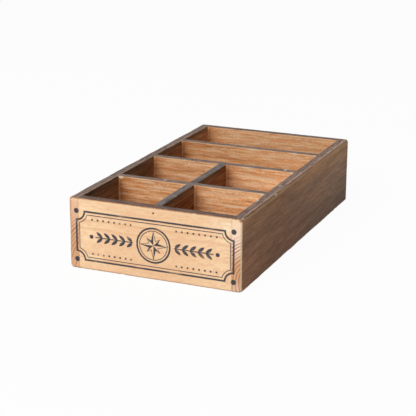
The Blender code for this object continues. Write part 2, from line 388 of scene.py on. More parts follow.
def make_board(board, cuts, pockets):
    """Model one worn board in place of its node."""
    planes = board.planes()
    points, quads = lattice(planes)
    for first, second in ((X, Y), (X, Z), (Y, Z)):
        for side, other in ((-1, -1), (-1, 1), (1, -1), (1, 1)):
            faces = ((first, side), (second, other))
            seed = board.seed + 3 * first + 5 * second + side + 2 * other
            radius = board.radius_at(points, faces, seed)
            round_arris(points, faces, planes, radius)
    chip(points, board)
    dip_faces(points, board)
    data = bpy.data.meshes.new(f"worn_{board.node}")
    data.from_pydata((points * MM).tolist(), [], quads.tolist())
    data.update()
    piece = add_object(f"worn_{board.node}", data)
    carve(piece, cuts, pockets)
    piece.data.shade_smooth()
    piece.data.set_sharp_from_angle(angle=math.radians(SHARP_ANGLE))
    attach(piece, "root")
    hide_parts(board.node)
    return piece


def side_board(node, sign):
    low, high = box_mm(node)
    inner = (X, -sign)
    outer = {(X, sign), (Y, -1), (Y, 1), (Z, -1), (Z, 1)}
    junctions = [(inner, FRONT_Y - OVERRUN, -INNER_Y), (inner, INNER_Y, BACK_Y + OVERRUN)]
    for divider_low, divider_high in CROSS.values():
        junctions.append((inner, divider_low[Y], divider_high[Y]))
    return Board(node, "dark_stained_pine", low, high, Y, outer, {inner}, junctions)


def side_cuts(sign):
    """The panel's groove, and a housing for each cross divider."""
    face = sign * INNER_X
    start, end = sorted((face - sign * OVERRUN, face + sign * HOUSING_DEPTH))
    boxes = [GROOVE]
    for low, high in CROSS.values():
        boxes.append(((start, low[Y] - SEAM, HOUSING_FOOT_Z), (end, high[Y] + SEAM, SHOULDER_Z)))
    return boxes


def end_board(node, sign, slot):
    """The front or the back board, between the sides."""
    low, high = box_mm(node)
    low = (-INNER_X + SEAM, low[Y], low[Z])
    high = (INNER_X - SEAM, high[Y], high[Z])
    inner = (Y, -sign)
    outer = {(Y, sign), (Z, -1), (Z, 1)}
    junctions = [(inner, CENTRE_LOW[X], CENTRE_HIGH[X])] if sign < 0 else []
    return Board(node, slot, low, high, X, outer, {inner}, junctions)


def divider(node, low, high, along, opening, junctions):
    return Board(node, "amber_stained_pine", low, high, along, set(), opening, junctions)


def cross_divider(name):
    low, high = CROSS[name]
    ahead, behind = (Y, -1), (Y, 1)
    met = {"front": (ahead, behind), "middle": (ahead,), "rear": ()}[name]
    junctions = [(face, CENTRE_LOW[X], CENTRE_HIGH[X]) for face in met]
    return divider(f"cross_divider_{name}", low, high, X, {ahead, behind}, junctions)


def centre_divider():
    low, high = CROSS["front"]
    faces = ((X, -1), (X, 1))
    junctions = [(face, low[Y], high[Y]) for face in faces]
    return divider("centre_divider", CENTRE_LOW, CENTRE_HIGH, Y, set(faces), junctions)


def end_shoulders(low, high, along, start, end):
    """Boxes that cut a divider's two top corners back to the faces of its neighbours."""
    boxes = []
    for near, far in ((low[along] - OVERRUN, start), (end, high[along] + OVERRUN)):
        box_low = [low[X] - OVERRUN, low[Y] - OVERRUN, SHOULDER_Z - SEAM]
        box_high = [high[X] + OVERRUN, high[Y] + OVERRUN, RIM_Z + OVERRUN]
        box_low[along] = near
        box_high[along] = far
        boxes.append((box_low, box_high))
    return boxes


def centre_slot(start, end, foot, top):
    """A slot across another board for the centre divider."""
    return (CENTRE_LOW[X] - SEAM, start, foot), (CENTRE_HIGH[X] + SEAM, end, top)


def brad_pocket(node, face_y, way):
    """A pocket round the head of a brad on the centre line, open to the front or the back."""
    low, high = box_mm(node)
    return Vector((0, face_y, (low[Z] + high[Z]) / 2)), (0, way, 0)


def front_cuts():
    slot = centre_slot(-INNER_Y - HOUSING_DEPTH, -INNER_Y + OVERRUN, HOUSING_FOOT_Z, SHOULDER_Z)
    return [GROOVE, slot]


def cross_cuts(name):
    """Shoulders at both ends, with a lap or a housing for the centre divider."""
    low, high = CROSS[name]
    cuts = end_shoulders(low, high, X, -INNER_X + SEAM, INNER_X - SEAM)
    start, foot = low[Y] - OVERRUN, low[Z] - OVERRUN
    if name == "front":
        cuts.append(centre_slot(start, high[Y] + OVERRUN, foot, LAP_Z))
    if name == "middle":
        cuts.append(centre_slot(start, low[Y] + HOUSING_DEPTH, foot, SHOULDER_Z))
    return cuts


def centre_cuts():
    """Shoulders at both ends, and the upper half of the lap with the front cross divider."""
    cuts = end_shoulders(CENTRE_LOW, CENTRE_HIGH, Y, -INNER_Y + SEAM, MIDDLE_WALL - SEAM)
    low, high = CROSS["front"]
    lap_low = (CENTRE_LOW[X] - OVERRUN, low[Y] - SEAM, LAP_Z)
    lap_high = (CENTRE_HIGH[X] + OVERRUN, high[Y] + SEAM, RIM_Z + OVERRUN)
    return cuts + [(lap_low, lap_high)]


def make_boards():
    """Model the boards, and return each with its piece."""
    _, middle_high = CROSS["middle"]
    front_pocket = brad_pocket("brad_centre_front", FRONT_Y, -1)
    rear_pocket = brad_pocket("brad_centre_rear", middle_high[Y], 1)
    sides = ((-1, "side_board_left"), (1, "side_board_right"))
    jobs = [(side_board(node, sign), side_cuts(sign), ()) for sign, node in sides]
    jobs.append((end_board("front_board", -1, "natural_pine"), front_cuts(), [front_pocket]))
    jobs.append((end_board("back_board", 1, "dark_stained_pine"), [GROOVE], ()))
    for name in CROSS:
        pockets = [rear_pocket] if name == "middle" else ()
        jobs.append((cross_divider(name), cross_cuts(name), pockets))
    jobs.append((centre_divider(), centre_cuts(), ()))
    return [(board, make_board(board, cuts, pockets)) for board, cuts, pockets in jobs]


# Sums in a material's node tree

class Signal:
    """A number, vector or colour that nodes work out, which can be used in plain sums."""

    def __init__(self, socket):
        self.socket = socket
        self.tree = socket.id_data

    def math(self, operation, *others):
        inputs = dict(enumerate((self, *others)))
        return run_node(self.tree, "Math", inputs, operation=operation)

    def __add__(self, other):
        return self.math("ADD", other)

    def __sub__(self, other):
        return self.math("SUBTRACT", other)

    def __mul__(self, other):
        return self.math("MULTIPLY", other)

    def __truediv__(self, other):
        return self.math("DIVIDE", other)

    def __abs__(self):
        return self.math("ABSOLUTE")

    def __rsub__(self, other):
        return self * -1 + other

    def split(self):
        """The three parts of a vector."""
        node = self.tree.nodes.new("ShaderNodeSeparateXYZ")
        feed(node, {0: self})
        return [Signal(socket) for socket in node.outputs]


def feed(node, inputs):
    """Give a node's inputs signals, numbers, vectors or colours, by their names or places."""
    for key, value in inputs.items():
        socket = node.inputs[key]
        if isinstance(value, Signal):
            value.tree.links.new(value.socket, socket)
        elif isinstance(value, tuple) and len(value) < len(socket.default_value):
            socket.default_value = (*value, 1.0)
        else:
            socket.default_value = value


def run_node(tree, kind, inputs, output=0, **settings):
    """Add a node, set it up, feed its inputs and return an output."""
    node = tree.nodes.new("ShaderNode" + kind)
    for name, value in settings.items():
        setattr(node, name, value)
    feed(node, inputs)
    return Signal(node.outputs[output])


def lesser(first, second):
    return first.math("MINIMUM", second)


def greater(first, second):
    return first.math("MAXIMUM", second)


def smooth(value, start, end):
    """Runs from 0 to 1 as the value goes from start to end, with soft ends."""
    inputs = {"Value": value, "From Min": start, "From Max": end}
    return run_node(value.tree, "MapRange", inputs, interpolation_type="SMOOTHSTEP")


def vector_sum(place, scale, offset):
    """The place scaled and moved along each axis."""
    inputs = {0: place, 1: scale, 2: offset}
    return run_node(place.tree, "VectorMath", inputs, operation="MULTIPLY_ADD")


def clouds(place, scales, seed, detail=2.0, roughness=0.5):
    """Noise from about 0 to 1, with its own scale along each axis, in periods per millimetre."""
    scaled = vector_sum(place, scales, (seed, seed * 1.7, seed * 2.3))
    inputs = {"Vector": scaled, "Scale": 1.0, "Detail": detail, "Roughness": roughness}
    return run_node(place.tree, "TexNoise", inputs)


def length(x, z):
    return (x * x + z * z).math("SQRT")


def random_share(number):
    """A share from 0 to 1 that is the same wherever the number is the same."""
    return run_node(number.tree, "TexWhiteNoise", {"W": number}, "Value", noise_dimensions="1D")


def blend(share, first, second, way="MIX"):
    """Colour between two others, or one laid over the other in the given way."""
    tree = next(value.tree for value in (share, first, second) if isinstance(value, Signal))
    inputs = {"Factor": share, 6: first, 7: second}
    return run_node(tree, "Mix", inputs, 2, data_type="RGBA", blend_type=way)


def tint(colour, other, share=1.0):
    """The colour multiplied by another or by a number."""
    return blend(share, colour, other, "MULTIPLY")


def new_material(name):
    material = bpy.data.materials.new(name)
    material.use_nodes = True
    tree = material.node_tree
    return material, tree, tree.nodes["Principled BSDF"]


# The print on the front, in millimetres from its middle

PRINT_MIDDLE_Z = RIM_Z / 2 - 1.2
FRAME_HALF_WIDTH = OUTER_X - 7.5
FRAME_HALF_HEIGHT = RIM_Z / 2 - 10.5
FRAME_NOTCH = 8.0
RULE = 0.85
THIN_RULE = 0.38
RULE_GAP = 2.9
CORNER_DOT = 2.4
RING_RADIUS = 15.6
RING_INNER_RADIUS = 13.2
STAR_LONG = 12.2
STAR_SHORT = 8.4
STAR_WAIST = 3.0
STAR_OUTLINE = 0.30
STEM_START = 19.5
STEM_END = 56.6
STEM_HALF = 0.50
STEM_INSET = 1.0
LEAF_PITCH = 7.4
LEAF_LENGTH = 8.2
LEAF_HALF = 1.45
LEAF_TILT = 38.0
STEM_DOT = 1.9
DOT_PITCH = 5.4
DOT_ROW = 15.9
DOT_START = 21.0
DOT_END = 63.0
DOT_RADIUS = 0.95
INK_WANDER = 0.35
INK_FADE = 0.16
INK_ROUGH = ((0.9, 0.9, 0.9), 3.1, 3.0)
INK_GRAIN = ((0.05, 1.2, 1.5), 8.2, 3.0, 0.6)
INK_PATCHES = ((0.045, 0.05, 0.07), 5.7)


def frame_lines(side, rise):
    """Distance to a double rule whose corners are notched by quarter circles."""
    past_edge = greater(side - FRAME_HALF_WIDTH, rise - FRAME_HALF_HEIGHT)
    corner = length(side - FRAME_HALF_WIDTH, rise - FRAME_HALF_HEIGHT)
    edge = greater(past_edge, FRAME_NOTCH - corner)
    outer = abs(edge) - RULE
    inner = abs(edge + RULE_GAP) - THIN_RULE
    return lesser(lesser(outer, inner), corner - CORNER_DOT)


def rose(x, z, side, rise):
    """Distance to an eight-pointed star in two rings, with half of each point left bare."""
    radius = length(x, z)
    rings = lesser(abs(radius - RING_RADIUS) - RULE, abs(radius - RING_INNER_RADIUS) - THIN_RULE)
    long_points = greater(side, rise) / STAR_LONG + lesser(side, rise) / STAR_WAIST - 1
    diagonal = (side + rise) * math.sqrt(0.5)
    across = abs(side - rise) * math.sqrt(0.5)
    short_points = diagonal / STAR_SHORT + across / STAR_WAIST - 1
    inside = lesser(long_points, short_points) * STAR_WAIST
    bare_half = (x * z).math("SIGN") * (rise - side).math("SIGN")
    star = lesser(greater(inside, bare_half), abs(inside) - STAR_OUTLINE)
    return lesser(rings, star)


def laurel(side, rise):
    """Distance to a leafy stem that runs outwards from the rose on both sides."""
    within = greater(STEM_START - side, side - STEM_END)
    stem = greater(rise - STEM_HALF, within)
    step = (side - STEM_START).math("MODULO", LEAF_PITCH)
    tilt = math.radians(LEAF_TILT)
    along = step * math.cos(tilt) + rise * math.sin(tilt)
    across = rise * math.cos(tilt) - step * math.sin(tilt)
    share = along / LEAF_LENGTH * 2 - 1
    leaf = abs(across) - (1 - share * share) * LEAF_HALF
    leaves = greater(leaf, within + STEM_INSET)
    dot = length(side - STEM_END - STEM_DOT * 2, rise) - STEM_DOT
    return lesser(lesser(stem, leaves), dot)


def dot_rows(side, rise):
    """Distance to a row of dots above and below the laurel."""
    step = (side + DOT_PITCH / 2).math("MODULO", DOT_PITCH) - DOT_PITCH / 2
    dots = length(step, rise - DOT_ROW) - DOT_RADIUS
    return greater(dots, greater(DOT_START - side, side - DOT_END))


def ink(place, x, z):
    """How much ink covers the front: 1 where it is whole, and less where it is worn."""
    rough = clouds(place, *INK_ROUGH) - 0.5
    lifted = z - PRINT_MIDDLE_Z
    side = abs(x)
    rise = abs(lifted)
    shapes = lesser(frame_lines(side, rise), rose(x, lifted, side, rise))
    shapes = lesser(shapes, lesser(laurel(side, rise), dot_rows(side, rise)))
    whole = smooth(shapes + rough * INK_WANDER, INK_FADE, -INK_FADE)
    grain = clouds(place, *INK_GRAIN)
    patches = clouds(place, *INK_PATCHES)
    worn = smooth(grain + patches * 0.8, 0.98, 1.22)
    return whole * (0.95 - worn * 0.75)


# Colours of wood, stain and ink, and of painted light, shade, highlights and sheen

BARE_PALE = (0.88, 0.6, 0.36)
BARE_DEEP = (0.76, 0.44, 0.235)
BARE_ROSY = (0.85, 0.52, 0.315)
BARE_LIGHT = (0.95, 0.68, 0.425)
BARE_PAINTED_LIGHT = (0.97, 0.79, 0.55)
BARE_FLECK = (0.86, 0.68, 0.52)
WORN_AND_HIGHLIT_ARRIS = (1.0, 0.76, 0.49)
END_PALE = (0.78, 0.467, 0.29)
END_ROSY = (0.92, 0.69, 0.53)
END_LOW = (0.7, 0.39, 0.205)
END_DEEP = (0.42, 0.175, 0.08)
LEFT_EDGE_SHADE = (0.5, 0.24, 0.125)
RIM_SHADOW_LINE = (0.56, 0.23, 0.095)
RIM_RUB_AND_HIGHLIGHT = (0.95, 0.56, 0.29)
RIM_FRONT = (0.9, 0.64, 0.46)
UNDER_RIM = (0.66, 0.74, 0.78)
BAND = (0.84, 0.68, 0.54)
CORNER_SHADE_AND_LINE_TINT = (0.6, 0.43, 0.3)
SIDE_FRONT_FOOT = (0.4, 0.183, 0.088)
SIDE_FRONT_TOP = (0.415, 0.215, 0.114)
SIDE_BACK_FOOT = (0.28, 0.164, 0.108)
SIDE_BACK_TOP = (0.58, 0.335, 0.193)
DARK_STREAK = (0.64, 0.59, 0.56)
OLIVE = (1.08, 1.06, 0.86)
GOLDEN = (1.2, 1.1, 0.9)
LINE_TINT = (0.62, 0.48, 0.4)
RUBBED_AND_HIGHLIT_TOP = (0.74, 0.5, 0.31)
WORN = (0.6, 0.41, 0.25)
SCUFF_AND_HIGHLIGHT = (0.86, 0.65, 0.45)
CHALK = (0.92, 0.86, 0.78)
STAIN_AND_SHADE_EDGE = (0.36, 0.16, 0.075)
ORANGE_STAIN = (0.44, 0.18, 0.065)
PAINTED_SHADE_PATCH = (0.13, 0.055, 0.028)
FLAME = (0.72, 0.28, 0.095)
PALE_STREAK = (0.9, 0.6, 0.37)
GLUE = (0.85, 0.48, 0.22)
INK = (0.028, 0.038, 0.058)
SEAM_LINE = (0.3, 0.15, 0.08)
PLY_PALE = (0.74, 0.43, 0.24)
PLY_DEEP = (0.45, 0.205, 0.09)
STEEL = (0.16, 0.14, 0.13)
RUST = (0.1, 0.045, 0.025)

# How each board is finished: its pith in millimetres in the plane across its grain, the stain on
# its inner faces, the painted light and shade that brighten them from its first end to its last, and the
# stain on its rim, greyed by painted sheen
Finish = namedtuple("Finish", "pith pale deep gain rim")
FINISHES = {
    # The side boards and the centre divider take a darker copy of the dividers' amber stain on their
    # inner faces: painted shade
    "side_board_left": Finish(
        (-26.0, -8.0), (0.47, 0.275, 0.15), (0.245, 0.118, 0.055), (0.76, 2.1), (0.29, 0.2, 0.158)
    ),
    "side_board_right": Finish(
        (100.0, 8.0), (0.48, 0.25, 0.125), (0.25, 0.105, 0.045), (0.9, 1.1), (0.3, 0.2, 0.158)
    ),
    "front_board": Finish(
        (-210.0, 20.0), (0.56, 0.3, 0.15), (0.32, 0.14, 0.06), (1.0, 1.0), (0.168, 0.104, 0.083)
    ),
    "back_board": Finish(
        (205.0, -20.0), (0.85, 0.525, 0.285), (0.59, 0.305, 0.138), (1.0, 1.0), (0.225, 0.158, 0.128)
    ),
    "cross_divider_front": Finish(
        (-10.0, -30.0), (0.99, 0.595, 0.32), (0.62, 0.272, 0.102), (0.925, 1.21), (0.26, 0.195, 0.165)
    ),
    "cross_divider_middle": Finish(
        (60.0, 100.0), (0.99, 0.61, 0.34), (0.62, 0.285, 0.12), (0.93, 1.29), (0.26, 0.195, 0.165)
    ),
    "cross_divider_rear": Finish(
        (20.0, -40.0), (0.93, 0.55, 0.28), (0.59, 0.27, 0.102), (0.87, 1.12), (0.26, 0.19, 0.155)
    ),
    "centre_divider": Finish(
        (50.0, 10.0), (0.51, 0.255, 0.125), (0.26, 0.105, 0.042), (1.1, 1.14), (0.19, 0.162, 0.152)
    ),
}

# Marks of use on each board, with pale rubbing and painted highlights just under the cross dividers'
# rims, and a patch of painted shade inside the left board: middle and half sizes in millimetres, colour
# and strength
MARKS = {
    "cross_divider_front": (
        ((44, FRONT_WALL, RIM_Z - 15.4), (24, 3, 0.9), SCUFF_AND_HIGHLIGHT, 0.75),
        ((34, FRONT_WALL, RIM_Z - 6), (26, 3, 1.6), SCUFF_AND_HIGHLIGHT, 0.3),
        ((-24, FRONT_WALL, RIM_Z - 7), (18, 3, 1.1), SCUFF_AND_HIGHLIGHT, 0.45),
        ((-56, FRONT_WALL, RIM_Z - 11), (14, 3, 0.9), SCUFF_AND_HIGHLIGHT, 0.4),
        # Pale rubbing and painted highlights just under the rim
        ((-INNER_X + 2.5, FRONT_WALL - 0.1, RIM_Z - 1), (3, 1.6, 1.6), SCUFF_AND_HIGHLIGHT, 0.9),
        ((-42.6, FRONT_WALL, RIM_Z - 2.6), (7, 2, 0.9), SCUFF_AND_HIGHLIGHT, 0.7),
        ((INNER_X - 3.3, FRONT_WALL - 0.1, RIM_Z - 1.1), (3, 1.6, 1.3), SCUFF_AND_HIGHLIGHT, 0.85),
        ((-27, FRONT_WALL + 4.7, RIM_Z), (2, 2, 1), CHALK, 0.6),
    ),
    "cross_divider_middle": (
        ((38, MIDDLE_WALL, RIM_Z - 9), (26, 3, 1.4), SCUFF_AND_HIGHLIGHT, 0.4),
        ((-36, MIDDLE_WALL, RIM_Z - 16.5), (20, 3, 1.6), SCUFF_AND_HIGHLIGHT, 0.35),
        # Pale rubbing and painted highlights just under the rim
        ((25, MIDDLE_WALL - 0.2, RIM_Z - 1), (6, 1.6, 0.9), SCUFF_AND_HIGHLIGHT, 0.8),
        ((INNER_X - 2.1, MIDDLE_WALL - 0.2, RIM_Z - 1), (3, 1.6, 1.3), SCUFF_AND_HIGHLIGHT, 0.8),
        ((62.8, MIDDLE_WALL + 5, RIM_Z), (1.5, 2.4, 1), CHALK, 0.95),
    ),
    "cross_divider_rear": (
        ((36, REAR_WALL, RIM_Z - 6), (30, 3, 1.4), SCUFF_AND_HIGHLIGHT, 0.3),
        ((-20, REAR_WALL, RIM_Z - 11.5), (34, 3, 0.8), SCUFF_AND_HIGHLIGHT, 0.3),
        # Pale rubbing and painted highlights just under the rim
        ((49.9, REAR_WALL - 0.1, RIM_Z - 1), (4.5, 1.6, 1.2), SCUFF_AND_HIGHLIGHT, 0.9),
        ((6, REAR_WALL - 0.1, RIM_Z - 1.4), (9, 1.6, 0.8), SCUFF_AND_HIGHLIGHT, 0.75),
    ),
    "back_board": [((10, INNER_Y, RIM_Z - 10), (40, 3, 0.9), SCUFF_AND_HIGHLIGHT, 0.25)],
    "side_board_right": (
        ((INNER_X + 0.5, -92.7, RIM_Z), (1.6, 3.6, 1), CHALK, 0.8),
        ((INNER_X + 3.4, -41.5, RIM_Z), (1.4, 3, 1), CHALK, 0.45),
        ((OUTER_X, 106, RIM_Z - 14), (2, 22, 0.8), SCUFF_AND_HIGHLIGHT, 0.3),
        ((OUTER_X, 92, RIM_Z - 22), (2, 16, 0.7), SCUFF_AND_HIGHLIGHT, 0.25),
        ((OUTER_X - 0.5, FRONT_Y + 1, RIM_Z - 1), (3, 3.4, 1.7), ORANGE_STAIN, 0.9),
        ((OUTER_X - 0.6, -66.5, RIM_Z - 0.6), (2, 3, 1.2), CHALK, 0.75),
        ((OUTER_X - 1, FRONT_Y + 4.6, RIM_Z - 0.3), (1.7, 3.2, 1.2), CHALK, 0.6),
        ((OUTER_X - 0.3, -45, RIM_Z - 0.8), (1.2, 14, 0.6), SCUFF_AND_HIGHLIGHT, 0.45),
    ),
    "side_board_left": (
        # Painted shade on the inner face
        ((-INNER_X, -16, RIM_Z - 9), (2, 20, 7), PAINTED_SHADE_PATCH, 0.45),
        ((-OUTER_X + 0.5, FRONT_Y + 1, RIM_Z - 1), (3, 4, 1.5), ORANGE_STAIN, 0.6),
    ),
}


# Where the looks change, in millimetres: x and y from the middle, z from the foot, or distances from
# a face, an edge or a line. A pair says where a look starts and where it is full

# Under the outer faces and the rim
SKIN = (3.5, 2.8)
FRONT_SKIN = (3.0, 2.0)
RIM_SKIN = (4.0, 3.0)
BEHIND_FRONT = (1.0, 3.0)
MIDDLE_HALF = 10.0
SEAM_REACH = (0.28, 0.08)

# End grain of the side boards
END_LOW_Z = (44, 22)
END_FOOT_Z = (14, 4)
RINGS_Z = (56, 38)
RINGS_FOOT_Z = (2, 26)
END_PAINTED_LIGHT_Z = (48, 62)

# Face of the front board, with painted light, shade and highlights
JOINT_X = (INNER_X - 0.1, INNER_X + 0.2)
LIGHT_X = (42, 78)
PAINTED_LIGHT_X = (38, 76)
PAINTED_LIGHT_Z = (36, 56)
SHADE_Z = (34, 4)
LEFT_SHADE_X = (-OUTER_X + 4.1, -OUTER_X + 1.7)
LEFT_SHADE_Z = (12, 36)
WORN_AND_HIGHLIT_ARRIS_X = (OUTER_X - 1.5, OUTER_X - 0.6)
FOOT_SHADE_Z = (1.9, 0.4)
HIGHLIGHT_BELOW = (4.0, 1.6)
RIM_LINE_BELOW = (1.1, 0.5)

# Walls of the compartments, with painted shade low down and in the corners, and a painted shadow and
# highlight under the rim
SHADED_LOW_WALL_Z = (57, 36)
UPPER_WALL_Z = (60, 64)
RIM_SHADOW_BELOW = (2.4, 1.4)
RUB_AND_HIGHLIGHT_BELOW = (1.6, 1.0)
SCUFFS_BELOW = (1.6, 2.6)
SCUFFS_END_BELOW = (5.4, 3.6)
CORNER_SHADE_REACH = 23.0
WALL_FADE = 0.1
DIVIDER_FADE = 1.0
GLUE_REACH = (3.0, 0.6)
GLUE_EDGE = 2.6
GLUE_EDGE_REACH = (1.0, 0.1)

# Outside of the box, with painted shade along the foot and the back arris
BACK_FADE_Y = (-110, 150)
HIGH_Z = (6, 60)
DIP_Y = (-130, -85)
DIP_END_Y = (60, -30)
GOLDEN_Z = (50, 62)
TOP_LINE_Z = RIM_Z - 0.6
TOP_LINE_REACH = (0.55, 0.15)
FOOT_SHADE_EDGE_Z = (0.5, 2.4)
BACK_SHADE_EDGE_Y = (BACK_Y - 0.5, BACK_Y - 1.9)

# Rim and its arrises, with the painted highlight along the side boards' top arris
AFT_Y = (0, 80)
AMID_Y = (-80, -50)
AMID_END_Y = (60, 30)
RIM_FRONT_Y = (FRONT_Y + 2.6, FRONT_Y + 1.2)
TOP_RUB_AND_HIGHLIGHT_BELOW = (0.8, 1.2)
TOP_RUB_AND_HIGHLIGHT_END_BELOW = (3.8, 2.2)


# Wood

RING_PITCH = 2.6
END_RING_PITCH = 2.7
PLY_RING_PITCH = 3.4
PLY_PITH = (20.0, -55.0)
PLY_SEED = 61.3
PLY_ROUGHNESS = 0.65
RING_WANDER = 7.0
SPECULAR = 0.12
BUMP_STRENGTH = 0.7
BUMP_HEIGHT = 0.15

# Noises drawn out along the grain: periods along and across it in millimetres, then the number at
# which the noise starts, its detail and its roughness
RING_BENDS = (150, 45, 0)
RING_DRIFT = (400, 9, 4, 1.0)
BROAD_BANDS = (110, 8, 9, 3.0, 0.6)
STREAKS = (40, 2.4, 15, 3.0, 0.6)
FIBRES = (11, 0.7, 21, 2.0, 0.6)
PATCHES = (60, 30, 27)
SPECKS = (2.2, 0.9, 60, 2.0, 0.7)
FLAMES = (21, 2.6, 50, 3.0, 0.6)
PALE_STREAKS = (18, 1.7, 56)
BLOTCHES = (48, 8, 80, 3.0, 0.6)
HUES = (40, 16, 85)
SCRATCHES = (30, 1.3, 90)
RIM_MOTTLE = (9, 2.0, 95, 3.0, 0.6)

# Other noises: periods per millimetre across, from front to back and up, then the same
BLOTS = ((0.35, 0.35, 0.35), 40, 3.0, 0.6)
FACE_MOTTLE = ((0.09, 0.09, 0.2), 70, 3.0, 0.7)
FLECKS = ((0.16, 0.16, 1.1), 75, 2.0, 0.6)
RIM_SPECKS = ((0.45, 0.45, 0.45), 99, 1.0)
RUST_SPOTS = ((2.0, 2.0, 2.0), 12.0, 3.0)

# How far noise shifts the looks that it edges, in millimetres
LIGHT_SHIFT = 30
SHADED_LOW_WALL_SHIFT = 14
BACK_FADE_SHIFT = 90
HIGH_SHIFT = 34
GOLDEN_SHIFT = 20
EDGE_SHIFT = 1.2


class Pine:
    """Growth rings, fibres and other noises of one sawn board, from 0 to 1."""

    def __init__(self, place, along, pith, seed, ring_pitch):
        self.place = place
        self.along = along
        self.seed = seed
        parts = place.split()
        across = [parts[axis] for axis in (X, Y, Z) if axis != along]
        bend = self.grain(*RING_BENDS) - 0.5
        radius = length(across[0] - pith[0], across[1] - pith[1]) + bend * RING_WANDER
        turns = radius / ring_pitch + self.grain(*RING_DRIFT) * 0.8
        phase = turns.math("FRACT")
        year = turns.math("FLOOR")
        strength = random_share(year)
        late = smooth(phase, 0.25, 0.86) * smooth(phase, 1.0, 0.9)
        self.ring = late * (strength * 0.75 + 0.25)
        self.broad = self.grain(*BROAD_BANDS)
        self.streak = self.grain(*STREAKS)
        self.fibre = self.grain(*FIBRES)
        self.patch = self.grain(*PATCHES)

    def clouds(self, scales, seed, *detail):
        """Noise that no other board shares."""
        return clouds(self.place, scales, self.seed + seed, *detail)

    def grain(self, length_period, across_period, seed, *detail):
        """Noise drawn out along the board, from its periods in millimetres."""
        scales = [1 / (length_period if axis == self.along else across_period) for axis in (X, Y, Z)]
        return self.clouds(scales, seed, *detail)


def millimetres(coordinates):
    metres = Signal(coordinates.outputs["Object"])
    inputs = {0: metres, 1: (1 / MM,) * 3}
    return run_node(metres.tree, "VectorMath", inputs, operation="MULTIPLY")


class Spot:
    """Any spot on a board: its place, its grain, and where it lies in the box, from 0 to 1."""

    def __init__(self, tree, board):
        coordinates = tree.nodes.new("ShaderNodeTexCoord")
        self.board = board
        self.finish = FINISHES[board.node]
        self.place = millimetres(coordinates)
        self.x, self.y, self.z = self.place.split()
        nx, ny, nz = Signal(coordinates.outputs["Normal"]).split()
        self.is_side = board.along == Y and board.slot == "dark_stained_pine"
        pitch = END_RING_PITCH if self.is_side else RING_PITCH
        self.pine = Pine(self.place, board.along, self.finish.pith, board.seed, pitch)
        self.tone = self.pine.streak * 0.5 + self.pine.broad * 0.35 + self.pine.fibre * 0.25
        self.blot = self.pine.clouds(*BLOTS)
        self.under_rim = RIM_Z - self.z + (self.blot - 0.5) * EDGE_SHIFT
        self.on_right = smooth(self.x, -MIDDLE_HALF, MIDDLE_HALF)
        behind = self.y - FRONT_Y
        self.front = smooth(ny, -0.40, -0.60) * smooth(behind, *FRONT_SKIN)
        side = smooth(OUTER_X - abs(self.x), *SKIN)
        self.flank = side * smooth(behind, *BEHIND_FRONT)
        self.outside = greater(greater(side, smooth(BACK_Y - self.y, *SKIN)), smooth(behind, *SKIN))
        least = self.outside * 0.26 + 0.62
        self.rim = smooth(nz, least, least + 0.08) * smooth(RIM_Z - self.z, *RIM_SKIN)
        turned = greater(greater(abs(nx * ny), abs(ny * nz)), abs(nz * nx)) * 2
        self.arris = smooth(turned, 0.25, 0.75)


def end_grain(spot):
    """Sawn ends of the side boards, with rings that show more towards the foot, and painted light
    towards the top.
    """
    pine, z = spot.pine, spot.z
    rings = smooth(pine.ring + (pine.patch - 0.5) * 0.6, 0.05, 0.70)
    pale = blend(spot.on_right, END_PALE, END_ROSY)
    ends = blend(smooth(z, *END_LOW_Z) * (1 - smooth(z, *END_FOOT_Z) * 0.6), pale, END_LOW)
    shown = smooth(z, *RINGS_Z) * (smooth(z, *RINGS_FOOT_Z) * 0.25 + 0.65)
    ends = blend(rings * shown, ends, END_DEEP)
    # Painted light: the end grain brightens towards the top, more on the right
    light = smooth(z, *END_PAINTED_LIGHT_Z) * (spot.on_right * 0.5 + 0.1)
    return blend(light, ends, BARE_LIGHT)


def bare_wood(spot):
    """The front board's face, and the end grain of the side boards beside it, with painted light, shade
    and highlights.
    """
    pine, x, z = spot.pine, spot.x, spot.z
    mottle = pine.clouds(*FACE_MOTTLE)
    pale = blend(smooth(abs(x) + mottle * LIGHT_SHIFT, *LIGHT_X), BARE_PALE, BARE_LIGHT)
    # Painted light: brighter towards the top right of the front
    pale = blend(smooth(x, *PAINTED_LIGHT_X) * smooth(z, *PAINTED_LIGHT_Z) * 0.8, pale, BARE_PAINTED_LIGHT)
    face = blend(smooth(pine.ring * 0.4 + spot.tone * 0.6, 0.34, 0.80), pale, BARE_DEEP)
    face = blend(smooth(mottle, 0.42, 0.62) * 0.7, face, BARE_ROSY)
    fleck = pine.clouds(*FLECKS)
    face = tint(face, BARE_FLECK, smooth(fleck, 0.54, 0.68) * 0.6)
    colour = blend(smooth(abs(x), *JOINT_X), face, end_grain(spot))
    colour = tint(colour, 1 - smooth(z, *SHADE_Z) * 0.05)
    # Painted shade along the left edge of the front
    edge = smooth(x + spot.blot, *LEFT_SHADE_X) * smooth(z, *LEFT_SHADE_Z)
    colour = blend(edge * 0.72, colour, LEFT_EDGE_SHADE)
    # Bare worn wood and a painted highlight along the right arris
    colour = blend(smooth(x + spot.blot * 0.5, *WORN_AND_HIGHLIT_ARRIS_X) * 0.9, colour, WORN_AND_HIGHLIT_ARRIS)
    # Painted shade: an uneven dark line along the foot
    foot = smooth(z + (spot.blot - 0.5) * 2.0, *FOOT_SHADE_Z)
    colour = blend(foot * 0.75, colour, STAIN_AND_SHADE_EDGE)
    below = spot.under_rim
    # Painted highlight: paler just under the top arris
    colour = blend(smooth(below, *HIGHLIGHT_BELOW) * 0.5, colour, BARE_PALE)
    colour = blend(smooth(below, *RIM_LINE_BELOW) * 0.85, colour, STAIN_AND_SHADE_EDGE)
    return blend(ink(spot.place, x, z), colour, INK)


